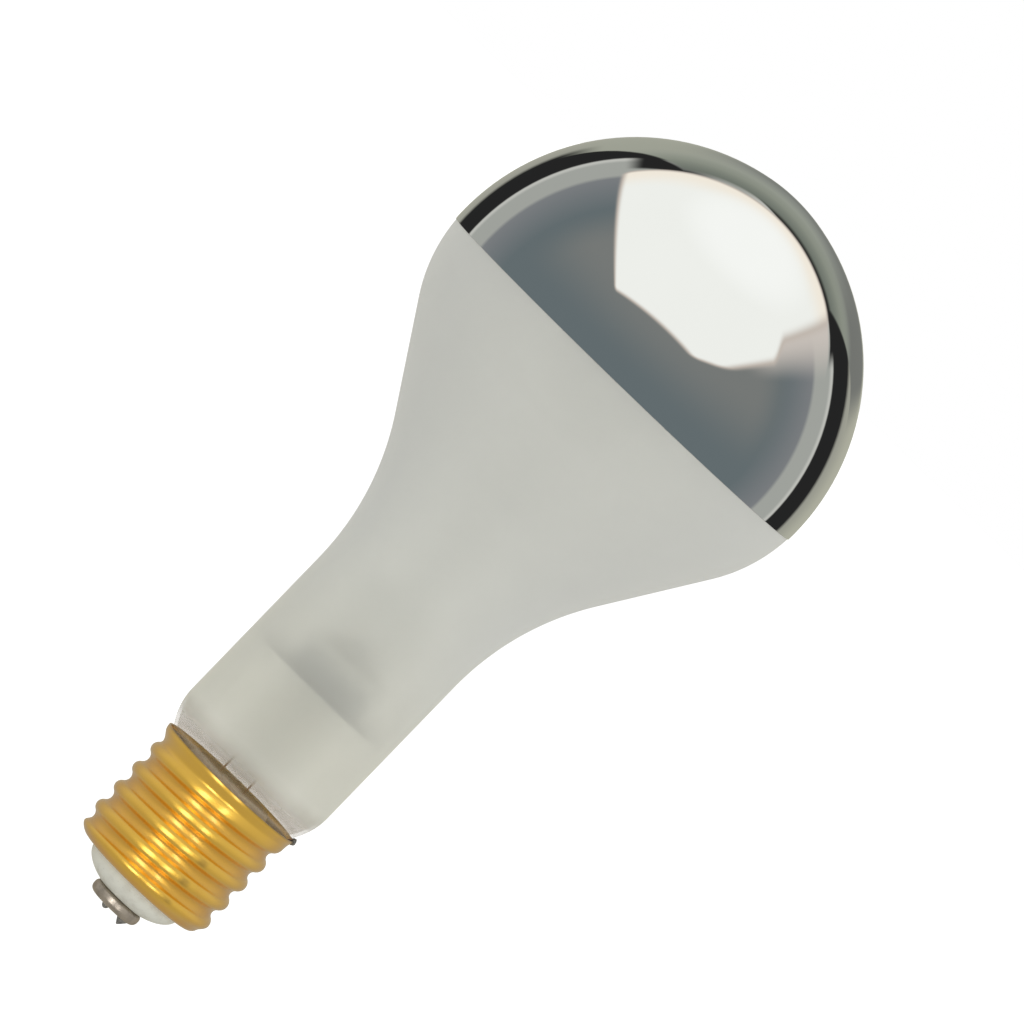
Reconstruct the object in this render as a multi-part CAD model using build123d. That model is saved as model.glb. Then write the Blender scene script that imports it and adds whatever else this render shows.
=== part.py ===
from build123d import *
from math import asin, atan2, ceil, cos, degrees, pi, radians, sin, sqrt, tan
import os

# A large silvered-bowl lamp on a screw cap, in millimetres.
# Z is the lamp's axis: the tip of the contact's solder is at 0 and the crown is at the top.
# X runs across the two lead wires, and the side solder is on the +X side of the rim.

# Bulb glass
overall_length = 238.0
bulb_diameter = 110.3
neck_diameter = 45.0
glass_wall = 0.9
crown_radius = 45.0  # blunt end of the bowl
bowl_rise = 2.0  # how far past the axis the arc of the upper bowl is centred
bowl_radius = 41.0  # lower half of the bowl
cone_angle = 32.5  # degrees from the axis, between the bowl and the throat
throat_radius = 70.0  # hollow sweep from the cone into the neck
shoulder_radius = 16.9  # neck drawn in towards the cap
shoulder_height = 9.8  # from the rim of the cap up to the straight neck
seal_depth = 4.2  # from the rim of the cap down to the sealed end of the bulb

# Mirror coating on the bowl
mirror_thickness = 0.2
mirror_below_equator = 2.5

# Screw shell of thin brass with a rolled right-hand thread
rim_radius = 20.5
shell_length = 32.9
shell_wall = 0.42
thread_pitch = 6.35
thread_crest_radius = 20.0
thread_depth = 1.7
first_crest = 4.1  # above the lip, on the +X side
thread_run_in = 4.0  # length over which the thread grows out of the curl
thread_run_out = 6.3  # length over which it fades into the flared band
curl_radius = 3.0
mouth_radius = 14.0
points_per_turn = 16
rows_per_pitch = 8

# Insulator in the mouth of the shell
insulator_clearance = 0.3
insulator_drop = 5.4  # from the lip down to the contact's seat
dome_height = 6.3
flange_clearance = 0.4  # inside the curl of the shell
flange_height = 4.3
floor_height = 1.3  # of the recess behind the contact, above the lip's inner face
recess_radius = 12.5
recess_draft = 1.5

# Centre contact, riveted through the insulator
contact_radius = 7.15
contact_thickness = 3.4
contact_edge = 1.2
shank_radius = 3.0
shank_clearance = 0.05
rivet_radius = 4.3
rivet_thickness = 0.7
lead_hole_radius = 0.8

# Solder, ragged as in the photograph
solder_drop = 2.0  # from the contact's face down to the tip
bead_radius = 1.45
bead_offset = -0.9
spike_base_radius = 2.1
spike_tip_radius = 0.3
spike_offset = 3.8
crumb_base_radius = 1.5
crumb_tip_radius = 0.7
crumb_offset = (5.5, 0.6)
crumb_drop = 1.1
side_blob = (0.9, 1.4, 1.2)  # radial, along the rim and upright half sizes

# Stem: a tube flared to the seal below and pressed flat on the leads above
stem_radius = 10.2
stem_wall = 1.4
seal_lip = 1.2
flare_height = 10.5
stem_length = 48.5  # from the seal to the foot of the press
press_taper = 8.0
press_height = 8.0
press_half_width = 10.6
press_half_thickness = 3.9
press_edge = 1.4
cavity_end = 1.5  # above the foot of the press
exhaust_radius = 2.8
exhaust_bore = 1.6
exhaust_length = 66.0
port_height = 5.0  # of the side port above the end of the cavity

# Heat deflector: a disc with a collar that grips the stem
deflector_radius = 20.6
deflector_thickness = 0.4
deflector_height = 35.0  # above the sealed end of the bulb
collar_height = 10.0
collar_bend = 1.2
collar_clearance = 0.1

# Lead wires, on either side of the exhaust tube
lead_radius = 0.25
lead_spacing = 7.8
lead_joint = 4.0  # above the foot of the press
lead_rise = 9.0  # straight above the press
centre_lead_bend = 5.0
side_lead_bend = 0.8
lip_clearance = 0.9  # side lead under the stem's lip
rim_gap = 0.33  # side lead's centre outside the bulb's taper
side_clearance = 0.45  # side lead's centre outside the stem's lip
lead_end = 0.4  # of a lead in its solder

# Basing cement
cement_inset = 0.3
cement_drop = 1.0

# Filament mount
button_rod_radius = 2.3
button_rod_length = 60.0
button_radius = 3.6
button_height = 5.0
filament_height = 178.0
filament_radius = 15.5
filament_coil_radius = 0.7
filament_gap = 50.0  # degrees between its two ends, on the -Y side
support_count = 5
support_radius = 0.2
support_bend = 2.5
hook_clearance = 0.08
hook_turn = 270.0  # degrees of a wire's hook
tie_height = 34.0  # above the press
tie_radius = 0.15
tie_clearance = 0.08
clamp_inset = 4.0  # degrees from the filament's end to its clamp
clamp_drop = 12.0  # straight end of an inner lead below the filament
lead_bend = 6.0
support_rise = 4.0
set_in = 1.5  # depth of a wire's end in the glass rod or button
button_edge = 1.2

# Heights that several pieces share
contact_z = solder_drop
contact_top_z = contact_z + contact_thickness
lip_z = contact_top_z + insulator_drop
lip_top_z = lip_z + shell_wall
rim_height = lip_z + shell_length
seal_z = rim_height - seal_depth
press_z = seal_z + stem_length
press_neck_z = press_z + press_taper
press_top_z = press_neck_z + press_height
cavity_z = press_z + cavity_end
deflector_z = seal_z + deflector_height
lead_joint_z = press_z + lead_joint
lead_x = lead_spacing / 2

# The outline of the bulb: tangent arcs, the cone and the taper into the cap
bulb_radius = bulb_diameter / 2
neck_radius = neck_diameter / 2
upper_radius = bulb_radius + bowl_rise
crown_centre_z = overall_length - mirror_thickness - crown_radius
equator_z = crown_centre_z - sqrt((upper_radius - crown_radius) ** 2 - bowl_rise**2)
bowl_centre_r = bulb_radius - bowl_radius
throat_centre_r = neck_radius + throat_radius
cone_lean = radians(cone_angle)
bend_reach = (bowl_radius + throat_radius) * (1 - cos(cone_lean))
cone_length = (bulb_radius - neck_radius - bend_reach) / sin(cone_lean)
throat_z = equator_z - (bowl_radius + throat_radius) * sin(cone_lean) - cone_length * cos(cone_lean)
shoulder_z = rim_height + shoulder_height
shoulder_centre_r = neck_radius - shoulder_radius
shoulder_angle = asin(shoulder_height / shoulder_radius)
mirror_edge_z = equator_z - mirror_below_equator


def on_circle(centre_r, centre_z, radius, angle):
    """A point of the XZ half plane on a circle, by its angle from the horizontal."""
    return (centre_r + radius * cos(angle), centre_z + radius * sin(angle))


def taper_radius(inset, z):
    """Radius of the drawn-in end of the bulb at a height, inset from its outer face."""
    start = on_circle(shoulder_centre_r, shoulder_z, shoulder_radius - inset, -shoulder_angle)
    return start[0] - (start[1] - z) * tan(shoulder_angle)


def arc(centre_r, centre_z, radius, from_angle, to_angle):
    """An arc of the XZ half plane between two angles."""
    middle = (from_angle + to_angle) / 2
    ends = [on_circle(centre_r, centre_z, radius, a) for a in (from_angle, middle, to_angle)]
    return ThreePointArc(*[(r, 0, z) for r, z in ends])


def line(start, end):
    """A straight edge of the XZ half plane."""
    return Line((start[0], 0, start[1]), (end[0], 0, end[1]))


crown_join = atan2(crown_centre_z - equator_z, bowl_rise)


def bowl_outline(inset, low_z):
    """The bowl's arcs from the crown down to a height near the equator."""
    low = asin((low_z - equator_z) / (bowl_radius - inset))
    return [
        arc(0, crown_centre_z, crown_radius - inset, pi / 2, crown_join),
        arc(-bowl_rise, equator_z, upper_radius - inset, crown_join, 0),
        arc(bowl_centre_r, equator_z, bowl_radius - inset, 0, low),
    ]


def bulb_outline(inset):
    """The whole outline from the crown to the sealed end, inset from the outer face."""
    edges = bowl_outline(inset, equator_z - (bowl_radius - inset) * sin(cone_lean))
    throat = throat_radius + inset
    throat_top = on_circle(throat_centre_r, throat_z, throat, pi - cone_lean)
    edges.append(line(on_circle(bowl_centre_r, equator_z, bowl_radius - inset, -cone_lean), throat_top))
    edges.append(arc(throat_centre_r, throat_z, throat, pi - cone_lean, pi))
    edges.append(line((neck_radius - inset, throat_z), (neck_radius - inset, shoulder_z)))
    shoulder = shoulder_radius - inset
    edges.append(arc(shoulder_centre_r, shoulder_z, shoulder, 0, -shoulder_angle))
    foot = on_circle(shoulder_centre_r, shoulder_z, shoulder, -shoulder_angle)
    edges.append(line(foot, (taper_radius(inset, seal_z), seal_z)))
    return edges


def between(outer, inner):
    """Turns the strip between two outlines that share their order into a solid."""
    ends = [Line(a @ i, b @ i) for a, b, i in ((outer[0], inner[0], 0), (outer[-1], inner[-1], 1))]
    return revolve(make_face(outer + inner + ends), Axis.Z)


def turned(edges):
    """Turns a closed outline of the XZ half plane into a solid."""
    return revolve(make_face(edges), Axis.Z)


def path_of(points):
    """Straight edges of the XZ half plane through a list of points, closed."""
    return [line(a, b) for a, b in zip(points, points[1:] + points[:1])]


def wire(points, radius, bend):
    """A round wire along straight runs with bends of one radius."""
    route = FilletPolyline(*points, radius=bend) if len(points) > 2 else Line(*points)
    return sweep(Plane(route @ 0, z_dir=route % 0) * Circle(radius), path=route)


# Bulb and its mirror
glass_bulb = between(bulb_outline(0), bulb_outline(glass_wall))
mirror_bowl = between(bowl_outline(-mirror_thickness, mirror_edge_z), bowl_outline(0, mirror_edge_z))


# Screw shell: sections of the rolled thread, one above the other, lofted outside and inside
thread_mean_radius = thread_crest_radius - thread_depth / 2
thread_arc = ((thread_pitch / 4) ** 2 + (thread_depth / 2) ** 2) / thread_depth
crest_z = lip_z + first_crest
curl_top_z = lip_z + curl_radius
run_out_z = rim_height - thread_run_out


def ease(share):
    """Rises smoothly from 0 to 1."""
    share = min(max(share, 0.0), 1.0)
    return share * share * (3 - 2 * share)


def thread_wave(offset):
    """Height of the thread over its mean radius: equal tangent arcs at crest and root."""
    away = abs((offset + thread_pitch / 2) % thread_pitch - thread_pitch / 2)
    if away <= thread_pitch / 4:
        return thread_depth / 2 - thread_arc + sqrt(thread_arc**2 - away**2)
    return thread_arc - thread_depth / 2 - sqrt(thread_arc**2 - (thread_pitch / 2 - away) ** 2)


def shell_radius(z):
    """Mean radius: straight along the thread, then flared to the rim."""
    flare = ease((z - run_out_z) / thread_run_out) ** 1.6
    return thread_mean_radius + (rim_radius - thread_mean_radius) * flare


def shell_section(z, radius):
    """A level ring of the shell with the thread's wave at that height."""
    share = ease((z - lip_z) / thread_run_in) * (1 - ease((z - run_out_z) / thread_run_out))
    ring = []
    for step in range(points_per_turn):
        turn = step / points_per_turn
        r = radius + share * thread_wave(z - crest_z - thread_pitch * turn)
        ring.append((r * cos(2 * pi * turn), r * sin(2 * pi * turn), z))
    knots = [step / points_per_turn for step in range(points_per_turn + 1)]
    return Wire([Edge.make_spline(ring, periodic=True, parameters=knots)])


def shell_skin(inset):
    """One face of the sheet as a filled loft, from the flat lip round the curl to the rim."""
    bend = curl_radius - inset
    rings = []
    for angle in (0, pi / 6, pi / 3):
        z = curl_top_z - bend * cos(angle)
        rings.append(shell_section(z, shell_radius(z) - curl_radius + bend * sin(angle)))
    rows = ceil((rim_height - curl_top_z) / thread_pitch * rows_per_pitch)
    for row in range(rows + 1):
        z = curl_top_z + (rim_height - curl_top_z) * row / rows
        rings.append(shell_section(z, shell_radius(z) - inset))
    return Solid.make_loft(rings)


shell_outside = shell_skin(0)
shell_inside = shell_skin(shell_wall)
mouth = Solid.make_cylinder(mouth_radius, shell_wall, Plane.XY.offset(lip_z))
outer_faces = shell_outside.faces().sort_by(Axis.Z)
inner_faces = shell_inside.faces().sort_by(Axis.Z)
mouth_faces = mouth.faces().sort_by(Axis.Z)
sheet = [
    shell_outside.faces().filter_by(GeomType.BSPLINE)[0],
    shell_inside.faces().filter_by(GeomType.BSPLINE)[0],
    mouth.faces().filter_by(GeomType.CYLINDER)[0],
    Face(outer_faces[-1].outer_wire(), [inner_faces[-1].outer_wire()]),
    Face(outer_faces[0].outer_wire(), [mouth_faces[0].outer_wire()]),
    Face(inner_faces[0].outer_wire(), [mouth_faces[-1].outer_wire()]),
]
screw_shell = Solid(Shell(sheet))

# Insulator: a dome below the lip, a flange that seats on it, a recess and the rivet's hole
dome_radius = mouth_radius - insulator_clearance
flange_radius = thread_mean_radius - curl_radius - flange_clearance
floor_z = lip_top_z + floor_height
flange_z = lip_top_z + flange_height
hole_radius = shank_radius + shank_clearance
dome_angle = degrees(asin(insulator_drop / dome_height))
dome_foot = dome_radius * cos(radians(dome_angle))
dome = EllipticalCenterArc((0, 0), dome_radius, dome_height, -dome_angle, arc_size=dome_angle)
dome_edge = Pos(0, 0, lip_z) * (Plane.XZ * dome)
insulator_points = [
    (dome_radius, lip_z),
    (dome_radius, lip_top_z),
    (flange_radius, lip_top_z),
    (flange_radius, flange_z),
    (recess_radius + recess_draft, flange_z),
    (recess_radius, floor_z),
    (hole_radius, floor_z),
    (hole_radius, contact_top_z),
    (dome_foot, contact_top_z),
]
insulator = turned(path_of(insulator_points)[:-1] + [dome_edge])

# Centre contact: a rounded button with a shank spun over behind the insulator
contact_points = [
    (lead_hole_radius, contact_z),
    (contact_radius, contact_z),
    (contact_radius, contact_top_z),
    (shank_radius, contact_top_z),
    (shank_radius, floor_z),
    (rivet_radius, floor_z),
    (rivet_radius, floor_z + rivet_thickness),
    (lead_hole_radius, floor_z + rivet_thickness),
]
centre_contact = turned(path_of(contact_points))
contact_rim = centre_contact.edges().filter_by(GeomType.CIRCLE).group_by(SortBy.RADIUS)[-1]
centre_contact = fillet(contact_rim.sort_by(Axis.Z)[0], contact_edge)

# Stem: the flared tube and the flat press, less the cavity, the exhaust port and the leads' holes
flare_reach = taper_radius(glass_wall, seal_z) - stem_radius
flare_radius = (flare_height**2 + flare_reach**2) / (2 * flare_reach)
flare_centre_r = stem_radius + flare_radius
flare_z = seal_z + flare_height
flare_angle = asin(flare_height / flare_radius)
inner_flare = flare_radius + stem_wall
lip_angle = asin((flare_height + seal_lip) / inner_flare)
lip_radius = taper_radius(0, seal_z)
lip_foot_z = seal_z - seal_lip
lip_foot = on_circle(flare_centre_r, flare_z, inner_flare, pi + lip_angle)
bore_radius = stem_radius - stem_wall
cone_z = cavity_z - (bore_radius - exhaust_radius)
tube = turned(
    [
        line((0, lip_foot_z), (lip_radius, lip_foot_z)),
        line((lip_radius, lip_foot_z), (lip_radius, seal_z)),
        line((lip_radius, seal_z), (stem_radius + flare_reach, seal_z)),
        arc(flare_centre_r, flare_z, flare_radius, pi + flare_angle, pi),
        line((stem_radius, flare_z), (stem_radius, press_z)),
        line((stem_radius, press_z), (0, press_z)),
        line((0, press_z), (0, lip_foot_z)),
    ]
)
cavity = turned(
    [
        line((0, lip_foot_z), lip_foot),
        arc(flare_centre_r, flare_z, inner_flare, pi + lip_angle, pi),
        line((bore_radius, flare_z), (bore_radius, cone_z)),
        line((bore_radius, cone_z), (exhaust_radius, cavity_z)),
        line((exhaust_radius, cavity_z), (0, cavity_z)),
        line((0, cavity_z), (0, lip_foot_z)),
    ]
)
flat = Ellipse(press_half_width, press_half_thickness)
neck = loft([Plane.XY.offset(press_z) * Circle(stem_radius), Plane.XY.offset(press_neck_z) * flat])
press = extrude(Plane.XY.offset(press_neck_z) * flat, press_height)
press = fillet(press.edges().sort_by(Axis.Z)[-1], press_edge)
port_z = cavity_z + port_height
port = extrude(Plane.XY.offset(cavity_z) * Circle(exhaust_bore), port_height)
port += extrude(Plane.XZ.offset(0) * Pos(0, port_z) * Circle(exhaust_bore), -stem_radius)
stem = tube + neck + press - cavity - port
for side in (-1, 1):
    stem -= Pos(side * lead_x, 0, cone_z) * extrude(Circle(lead_radius), press_top_z - cone_z)

# Exhaust tube, tipped off inside the cap
tip_z = cavity_z - exhaust_length + exhaust_radius
exhaust_tube = turned(
    [
        line((exhaust_bore, cavity_z), (exhaust_radius, cavity_z)),
        line((exhaust_radius, cavity_z), (exhaust_radius, tip_z)),
        arc(0, tip_z, exhaust_radius, 0, -pi / 2),
        line((0, tip_z - exhaust_radius), (0, tip_z - exhaust_bore)),
        arc(0, tip_z, exhaust_bore, -pi / 2, 0),
        line((exhaust_bore, tip_z), (exhaust_bore, cavity_z)),
    ]
)

# Heat deflector: one sheet bent from the collar into the disc
collar_radius = stem_radius + collar_clearance
sheet_bend = collar_bend + deflector_thickness
bend_r = collar_radius + sheet_bend
bend_z = deflector_z + sheet_bend
collar_z = deflector_z + collar_height
disc_z = deflector_z + deflector_thickness
heat_deflector = turned(
    [
        arc(bend_r, bend_z, sheet_bend, pi, 3 * pi / 2),
        line((bend_r, deflector_z), (deflector_radius, deflector_z)),
        line((deflector_radius, deflector_z), (deflector_radius, disc_z)),
        line((deflector_radius, disc_z), (bend_r, disc_z)),
        arc(bend_r, bend_z, collar_bend, 3 * pi / 2, pi),
        line((collar_radius + deflector_thickness, bend_z), (collar_radius + deflector_thickness, collar_z)),
        line((collar_radius + deflector_thickness, collar_z), (collar_radius, collar_z)),
        line((collar_radius, collar_z), (collar_radius, bend_z)),
    ]
)

# Filament: a ring of coil, open between its two clamps on the -Y side
first_angle = -90 + filament_gap / 2
filament_arc = CenterArc((0, 0, filament_height), filament_radius, first_angle, 360 - filament_gap)
filament = sweep(Plane(filament_arc @ 0, z_dir=filament_arc % 0) * Circle(filament_coil_radius), path=filament_arc)


def polar(angle, radius, z):
    """A point by its angle about the axis in degrees."""
    return Vector(radius * cos(radians(angle)), radius * sin(radians(angle)), z)


def hook_radius(wire_radius):
    """Radius of a wire's hook round the filament coil, to the wire's centre."""
    return filament_coil_radius + hook_clearance + wire_radius


def hooked_wire(points, radius, bend, axis):
    """A wire whose end is bent round an axis in a hook, clockwise as seen from the axis's tip."""
    run = FilletPolyline(*points, radius=bend) if len(points) > 2 else Line(*points)
    centre = axis.position
    about = Axis((0, 0, 0), axis.direction)
    turns = [centre + (points[-1] - centre).rotate(about, -hook_turn * share) for share in (0, 0.5, 1)]
    route = Wire(run.edges() + [ThreePointArc(*turns)])
    return sweep(Plane(route @ 0, z_dir=route % 0) * Circle(radius), path=route)


def coil_axis(angle):
    """The filament coil's own axis where a wire hooks on at an angle."""
    return Axis(polar(angle, filament_radius, filament_height), polar(angle - 90, 1, 0))


def clamp_angle(side):
    """Where an inner lead hooks on, just in from the filament's end."""
    return -90 + side * (filament_gap / 2 + clamp_inset)


def lead_route(side):
    """Corners of an inner lead, from its joint in the press up beside the filament."""
    reach = filament_radius - hook_radius(lead_radius)
    return [
        Vector(side * lead_x, 0, lead_joint_z),
        Vector(side * lead_x, 0, press_top_z + lead_rise),
        polar(clamp_angle(side), reach, filament_height - clamp_drop),
        polar(clamp_angle(side), reach, filament_height),
    ]


def inner_lead(side):
    """An inner lead with its hook on the filament."""
    return hooked_wire(lead_route(side), lead_radius, lead_bend, coil_axis(clamp_angle(side)))


left_lead_wire = inner_lead(-1)
right_lead_wire = inner_lead(1)

# Support wires, spread evenly along the filament and set in the glass button
button_z = press_top_z + button_rod_length
support_z = button_z + button_height / 2


def support(angle):
    """A support wire from the button out to its hook on the filament."""
    reach = filament_radius - hook_radius(support_radius)
    route = [
        polar(angle, button_radius - set_in, support_z),
        polar(angle, reach, support_z + support_rise),
        polar(angle, reach, filament_height),
    ]
    return hooked_wire(route, support_radius, support_bend, coil_axis(angle))


support_step = (360 - filament_gap) / (support_count + 1)
supports = [support(first_angle + support_step * (i + 1)) for i in range(support_count)]

# Tie wires, from the button rod to a hook round each inner lead
tie_z = press_top_z + tie_height


def tie(side):
    """A tie wire that passes beside its lead at that height and hooks round it."""
    low, high = lead_route(side)[1:3]
    place = low + (high - low) * ((tie_z - low.Z) / (high.Z - low.Z))
    out = Vector(place.X, place.Y, 0).normalized()
    beside = out.rotate(Axis.Z, 90) * (lead_radius + tie_clearance + tie_radius)
    start = Vector(0, 0, tie_z) + out * (button_rod_radius - set_in) + beside
    return hooked_wire([start, place + beside], tie_radius, 0, Axis(place, (0, 0, 1)))


left_tie_wire = tie(-1)
right_tie_wire = tie(1)

# Button rod, with the wires that are set in it
button_rod = turned(
    path_of(
        [
            (0, press_top_z),
            (button_rod_radius, press_top_z),
            (button_rod_radius, button_z),
            (button_radius, button_z),
            (button_radius, button_z + button_height),
            (0, button_z + button_height),
        ]
    )
)
button_edges = button_rod.edges().filter_by(GeomType.CIRCLE).group_by(SortBy.RADIUS)[-1]
button_rod = fillet(button_edges, button_edge)
for held in supports + [left_tie_wire, right_tie_wire]:
    button_rod -= held

# Outer leads: one to the centre contact, one out over the seal to the rim
centre_lead = wire(
    [
        (-lead_x, 0, lead_joint_z),
        (-lead_x, 0, tip_z - exhaust_radius),
        (0, 0, floor_z + rivet_thickness),
        (0, 0, contact_z - lead_end),
    ],
    lead_radius,
    centre_lead_bend,
)
under_lip_z = lip_foot_z - lip_clearance
side_x = lip_radius + side_clearance
side_z = seal_z + (side_clearance - rim_gap) / tan(shoulder_angle)
side_lead = wire(
    [
        (lead_x, 0, lead_joint_z),
        (lead_x, 0, under_lip_z),
        (side_x, 0, under_lip_z),
        (side_x, 0, side_z),
        (taper_radius(0, rim_height + lead_end) + rim_gap, 0, rim_height + lead_end),
    ],
    lead_radius,
    side_lead_bend,
)

# Basing cement, filling the band between the glass and the shell
cement_z = seal_z + cement_inset
cement_top_z = rim_height - cement_drop
cement_ring = turned(
    path_of(
        [
            (taper_radius(0, cement_z), cement_z),
            (rim_radius, cement_z),
            (rim_radius, cement_top_z),
            (taper_radius(0, cement_top_z), cement_top_z),
        ]
    )
)
basing_cement = (cement_ring & shell_inside) - side_lead

# Solder on the contact and on the rim, cut to what it has run against
bead = Pos(bead_offset, 0, contact_z) * Sphere(bead_radius)
solder_bead = bead - centre_contact - centre_lead
spike_height = solder_drop + contact_edge
spike = Pos(spike_offset, 0, spike_height / 2) * Cone(spike_tip_radius, spike_base_radius, spike_height)
crumb_height = crumb_drop + contact_edge
crumb_place = Pos(*crumb_offset, contact_z + contact_edge - crumb_height / 2)
crumb = crumb_place * Cone(crumb_tip_radius, crumb_base_radius, crumb_height)
solder_spike = spike + crumb - centre_contact
blob = scale(Sphere(1), by=side_blob)
side_solder = Pos(rim_radius, 0, rim_height) * blob - screw_shell - glass_bulb - side_lead

pieces = {
    "glass_bulb": glass_bulb,
    "mirror_bowl": mirror_bowl,
    "stem": stem,
    "exhaust_tube": exhaust_tube,
    "button_rod": button_rod,
    "heat_deflector": heat_deflector,
    "filament": filament,
    "left_lead_wire": left_lead_wire,
    "right_lead_wire": right_lead_wire,
    "left_tie_wire": left_tie_wire,
    "right_tie_wire": right_tie_wire,
    "centre_lead": centre_lead,
    "side_lead": side_lead,
    "basing_cement": basing_cement,
    "screw_shell": screw_shell,
    "insulator": insulator,
    "centre_contact": centre_contact,
    "solder_bead": solder_bead,
    "solder_spike": solder_spike,
    "side_solder": side_solder,
}
for number, piece in enumerate(supports, 1):
    pieces[f"support_wire_{number}"] = piece

os.makedirs("parts", exist_ok=True)
for name, piece in pieces.items():
    export_step(piece, f"parts/{name}.step")
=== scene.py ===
import math

import bpy
import numpy as np
from bpy.props import FloatProperty, FloatVectorProperty, IntProperty, PointerProperty
from mathutils import Matrix, Vector


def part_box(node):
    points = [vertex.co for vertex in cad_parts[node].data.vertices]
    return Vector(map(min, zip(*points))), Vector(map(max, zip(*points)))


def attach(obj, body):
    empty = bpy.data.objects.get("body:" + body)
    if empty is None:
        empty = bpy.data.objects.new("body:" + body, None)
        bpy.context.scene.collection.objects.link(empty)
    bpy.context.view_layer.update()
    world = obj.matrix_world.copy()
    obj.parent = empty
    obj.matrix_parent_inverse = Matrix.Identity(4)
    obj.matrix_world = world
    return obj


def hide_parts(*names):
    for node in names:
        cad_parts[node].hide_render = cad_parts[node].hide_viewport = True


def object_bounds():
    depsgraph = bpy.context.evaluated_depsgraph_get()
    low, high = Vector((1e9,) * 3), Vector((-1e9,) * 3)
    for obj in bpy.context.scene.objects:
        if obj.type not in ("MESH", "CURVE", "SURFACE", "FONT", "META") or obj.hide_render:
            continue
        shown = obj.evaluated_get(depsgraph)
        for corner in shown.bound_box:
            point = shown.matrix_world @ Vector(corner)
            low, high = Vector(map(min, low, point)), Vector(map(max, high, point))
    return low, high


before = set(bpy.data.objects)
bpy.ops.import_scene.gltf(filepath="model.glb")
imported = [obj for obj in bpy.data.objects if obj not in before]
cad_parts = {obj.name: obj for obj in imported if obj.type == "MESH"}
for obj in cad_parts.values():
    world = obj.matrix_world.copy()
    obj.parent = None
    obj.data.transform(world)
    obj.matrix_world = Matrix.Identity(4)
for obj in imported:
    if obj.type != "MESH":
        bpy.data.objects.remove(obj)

bl_info = {
    "name": "Silvered-bowl lamp",
    "version": (1, 0, 0),
    "blender": (4, 5, 0),
    "location": "3D View > Sidebar > Lamp",
    "description": "Dresses the frame of a large silvered-bowl lamp on a screw cap",
    "category": "Object",
}

CAD_BOX = [list(corner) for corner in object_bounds()]
MM = 0.001

# Places that the frame gives, in metres
GLASS_LOW, GLASS_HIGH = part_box("glass_bulb")
MIRROR_LOW, MIRROR_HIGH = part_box("mirror_bowl")
SHELL_LOW, SHELL_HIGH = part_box("screw_shell")
CONTACT_LOW, CONTACT_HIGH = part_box("centre_contact")
COIL_LOW, COIL_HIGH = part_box("filament")
RIM = SHELL_HIGH[2]


def length(name, description, default):
    """A size in metres for a property group."""
    return FloatProperty(
        name=name, description=description, default=default, precision=5, subtype="DISTANCE", unit="LENGTH",
    )


def colour(name, description, default):
    """A colour for a property group."""
    return FloatVectorProperty(
        name=name, description=description, default=default, size=3, min=0, max=1, subtype="COLOR",
    )


def turn(name, description, degrees):
    """An angle for a property group, given in degrees."""
    return FloatProperty(
        name=name, description=description, default=math.radians(degrees), subtype="ANGLE", unit="ROTATION",
    )


def amount(name, description, default):
    """A plain factor for a property group."""
    return FloatProperty(name=name, description=description, default=default, min=0, subtype="FACTOR")


def pixels(name, description, default):
    """A place in the picture for a property group."""
    return FloatProperty(name=name, description=description, default=default, subtype="PIXEL")


class BulbSizes(bpy.types.PropertyGroup):
    """The blown bulb and its mirror."""

    bulb_radius: length("Bulb radius", "Glass at its widest", GLASS_HIGH[0])
    neck_radius: length("Neck radius", "Straight neck", 22.5 * MM)
    glass_wall: length("Glass wall", "Thickness of the glass", 0.9 * MM)
    crown_radius: length("Crown radius", "Blunt end of the bowl", 45 * MM)
    bowl_rise: length("Bowl rise", "How far past the axis the upper bowl is centred", 2 * MM)
    bowl_radius: length("Bowl radius", "Lower half of the bowl", 41 * MM)
    cone_angle: turn("Cone angle", "From the axis, between the bowl and the throat", 32.5)
    throat_radius: length("Throat radius", "Hollow sweep into the neck", 70 * MM)
    shoulder_radius: length("Shoulder radius", "Neck drawn in towards the cap", 16.9 * MM)
    shoulder_height: length("Shoulder height", "From the rim up to the straight neck", 9.8 * MM)
    frost_start: length("Frost start", "Height of the edge of the frost", 45.5 * MM)
    frost_fade: length("Frost fade", "Height over which the frost comes in", 9 * MM)
    frost_view: amount("Frost view", "Share of the light that the frost lets through", 0.55)


class CapSizes(bpy.types.PropertyGroup):
    """The screw cap, its contact and solder."""

    shell_wall: length("Shell wall", "Thickness of the brass sheet", 0.42 * MM)
    thread_pitch: length("Thread pitch", "Rise of one turn", 6.35 * MM)
    thread_crest: length("Crest radius", "Outside of the thread", 20 * MM)
    thread_depth: length("Thread depth", "From crest to root", 1.7 * MM)
    first_crest: length("First crest", "Above the lip, on the +X side", 4.1 * MM)
    thread_run_in: length("Run-in", "Length over which the thread grows out of the curl", 4 * MM)
    thread_run_out: length("Run-out", "Length over which it fades into the band", 6.3 * MM)
    curl_radius: length("Curl radius", "Rounding at the lip", 3 * MM)
    mouth_radius: length("Mouth radius", "Opening round the insulator", 14 * MM)
    contact_thickness: length("Contact thickness", "Of the contact button", 3.4 * MM)
    shank: length("Shank radius", "Of the contact, through the insulator", 3 * MM)
    rivet: length("Rivet radius", "Shank spun over behind the insulator", 4.3 * MM)
    rivet_thickness: length("Rivet thickness", "Of the spun end", 0.7 * MM)
    lead_hole: length("Lead hole", "Radius of the hole for the centre lead", 0.8 * MM)
    # The dark marks are a painted dark reflection on the lower crests that face the front.
    marks: turn("Marks", "Side of the dark marks on the thread, right of the front", 25)
    filament_wire: length("Filament wire", "Radius of the tungsten wire", 0.07 * MM)
    filament_pitch: length("Filament pitch", "Rise of one turn of the coil", 0.42 * MM)


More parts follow.
